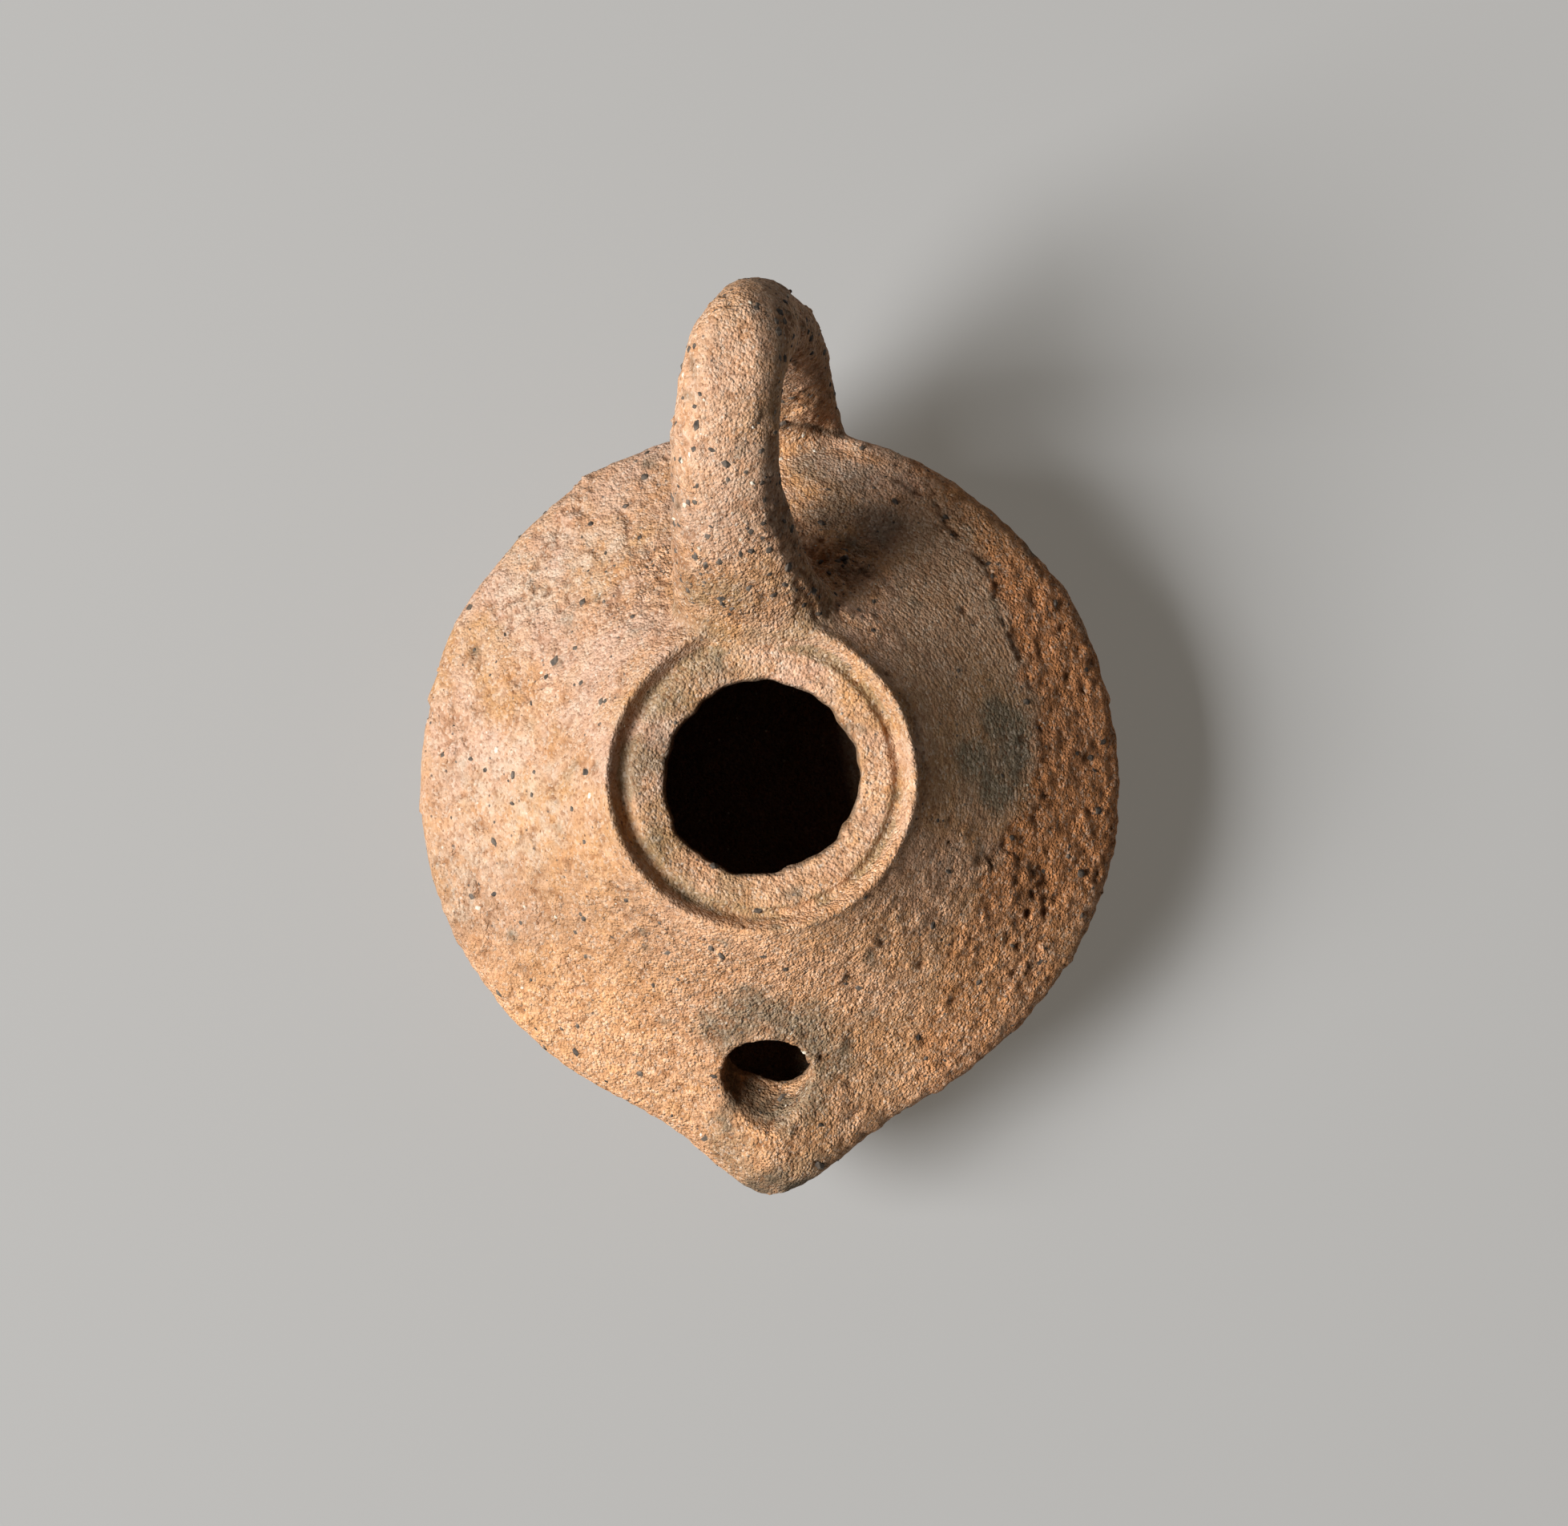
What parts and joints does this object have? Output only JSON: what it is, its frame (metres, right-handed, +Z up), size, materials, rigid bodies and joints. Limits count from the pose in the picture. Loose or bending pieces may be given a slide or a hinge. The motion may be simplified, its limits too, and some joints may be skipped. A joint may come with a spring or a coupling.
{
  "type": "terracotta oil lamp",
  "caption": "Hollow wheel-made clay lamp with a steep shoulder, a grooved collar round the filling hole, a short pointed nozzle with a wick hole, and a looped strap handle.",
  "frame": {"origin": "centre of the flat underside, on the axis of the wheel", "axes": "+Z up through the filling hole, -Y towards the nozzle, +Y towards the handle, +X to the right seen from above with the nozzle below"},
  "size_m": [0.0804, 0.1024, 0.0556],
  "materials": {
    "terracotta": "unglazed low-fired clay, coarse and weathered"
  },
  "bodies": {
    "root": {"oil_lamp": "terracotta"}
  },
  "joints": []
}
